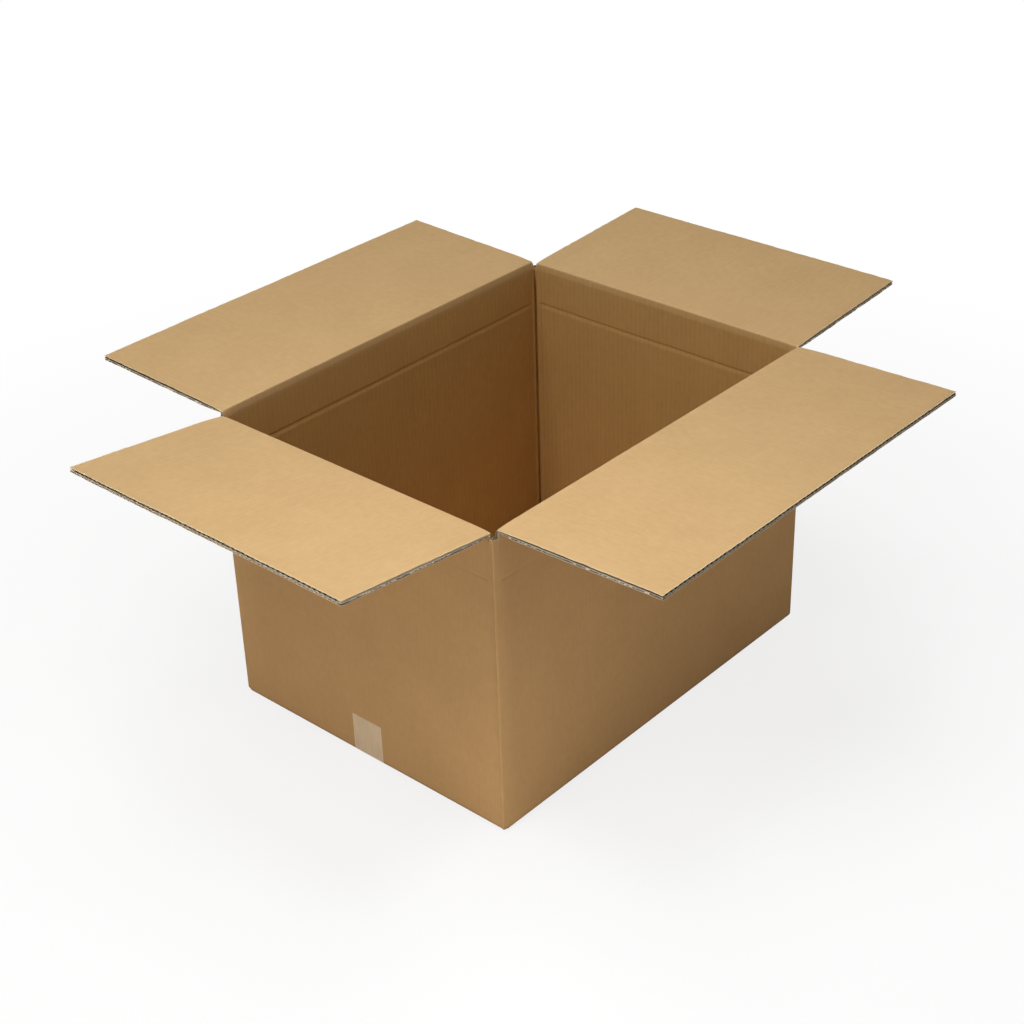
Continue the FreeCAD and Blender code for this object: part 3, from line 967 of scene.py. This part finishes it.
# Soft square lamps: name, place, point that each faces, side, watts, and spread of the beam
# in degrees. Two light the opened flaps, one the flaps by the front corner, and four the
# walls, of which one the foot of the front corner alone.
LIGHTS = [
    ("overhead", (0.5, 0.45, 3.2), (0.1, 0.1, 0.4), 1.4, 31, 180),
    ("left_high", (-1.6, 0.1, 2.4), (-0.2, 0, 0.4), 1.0, 24, 180),
    ("near_high", (-0.55, -0.45, 2.75), (-0.47, -0.4, 0.4), 0.6, 1.8, 45),
    ("left_low", (-1.5, 0.1, 0.06), (-0.3, 0, 0.12), 0.5, 3.9, 180),
    ("front_low", (-2.6, -2.4, 0.15), (0, 0, 0.15), 0.6, 3, 180),
    ("corner_low", (-0.66, -0.6, 0.03), (-0.3, -0.23, 0.03), 0.3, 0.26, 80),
    ("side_low", (0.3, -2.6, 0.4), (0, 0, 0.2), 0.8, 5.2, 180),
]

# Camera, fitted to the photo's edges of walls and flaps: its place, its turn about X, Y and
# Z in degrees, and its lens and sensor in millimetres
CAMERA_PLACE = (-1.60525, -1.44300, 1.49792)
CAMERA_TURN = (59.4262, 1.5959, -48.6830)
CAMERA_LENS = 67.44
CAMERA_SENSOR = 36.0


def make_floor():
    """Pale round floor that still takes the box's shadow."""
    angles = np.linspace(0, 2 * math.pi, FLOOR_CORNERS + 1)[:-1]
    points = [
        (FLOOR_RADIUS * math.cos(angle), FLOOR_RADIUS * math.sin(angle), -FLOOR_DROP)
        for angle in angles
    ]
    mesh = bpy.data.meshes.new("floor")
    mesh.from_pydata(points, [], [tuple(range(FLOOR_CORNERS))])
    floor = bpy.data.objects.new("floor", mesh)
    bpy.context.scene.collection.objects.link(floor)
    n = Nodes("pale_floor")
    n.shader.inputs["Base Color"].default_value = (0.84, 0.84, 0.84, 1)
    n.shader.inputs["Roughness"].default_value = 0.9
    n.shader.inputs["Specular IOR Level"].default_value = 0.0
    place = n.node("TexCoord").outputs["Object"]
    away = n.node("VectorMath", {0: place}, operation="LENGTH").outputs["Value"]
    share = n.spread(away, *FLOOR_FADE, 0.81, 1.0)
    seen = n.maths("MULTIPLY", n.node("LightPath").outputs["Is Camera Ray"], share)
    glow = n.node("Emission", {"Color": (1, 1, 1, 1), "Strength": 1.0})
    mix = n.node("MixShader", {0: seen, 1: n.shader.outputs[0], 2: glow.outputs[0]})
    n.feed(n.tree.nodes["Material Output"].inputs["Surface"], mix.outputs[0])
    mesh.materials.append(n.material)


def make_world():
    """Even pale surroundings, white to the camera."""
    world = bpy.data.worlds.new("studio")
    bpy.context.scene.world = world
    world.use_nodes = True
    tree = world.node_tree
    tree.nodes.clear()
    path = tree.nodes.new("ShaderNodeLightPath")
    mix = tree.nodes.new("ShaderNodeMixShader")
    output = tree.nodes.new("ShaderNodeOutputWorld")
    tree.links.new(path.outputs["Is Camera Ray"], mix.inputs[0])
    for number, strength in ((1, WORLD_STRENGTH), (2, 1.0)):
        background = tree.nodes.new("ShaderNodeBackground")
        background.inputs["Color"].default_value = (1, 1, 1, 1)
        background.inputs["Strength"].default_value = strength
        tree.links.new(background.outputs[0], mix.inputs[number])
    tree.links.new(mix.outputs[0], output.inputs["Surface"])


def make_light(name, place, target, size, watts, spread):
    """Square softbox that faces the target, with its beam narrowed to the spread."""
    light = bpy.data.lights.new(name, "AREA")
    light.size = size
    light.energy = watts
    light.spread = math.radians(spread)
    lamp = bpy.data.objects.new(name, light)
    lamp.visible_camera = False
    bpy.context.scene.collection.objects.link(lamp)
    turn = (Vector(place) - Vector(target)).to_track_quat("Z", "Y")
    lamp.matrix_world = Matrix.Translation(place) @ turn.to_matrix().to_4x4()


def make_camera():
    """Camera at the photo's viewing angle."""
    data = bpy.data.cameras.new("camera")
    data.sensor_width = CAMERA_SENSOR
    data.lens = CAMERA_LENS
    camera = bpy.data.objects.new("camera", data)
    bpy.context.scene.collection.objects.link(camera)
    turn = Euler([math.radians(angle) for angle in CAMERA_TURN])
    camera.matrix_world = Matrix.Translation(CAMERA_PLACE) @ turn.to_matrix().to_4x4()
    bpy.context.scene.camera = camera


make_floor()
make_world()
for light in LIGHTS:
    make_light(*light)
make_camera()
bpy.context.scene.view_settings.view_transform = "Standard"
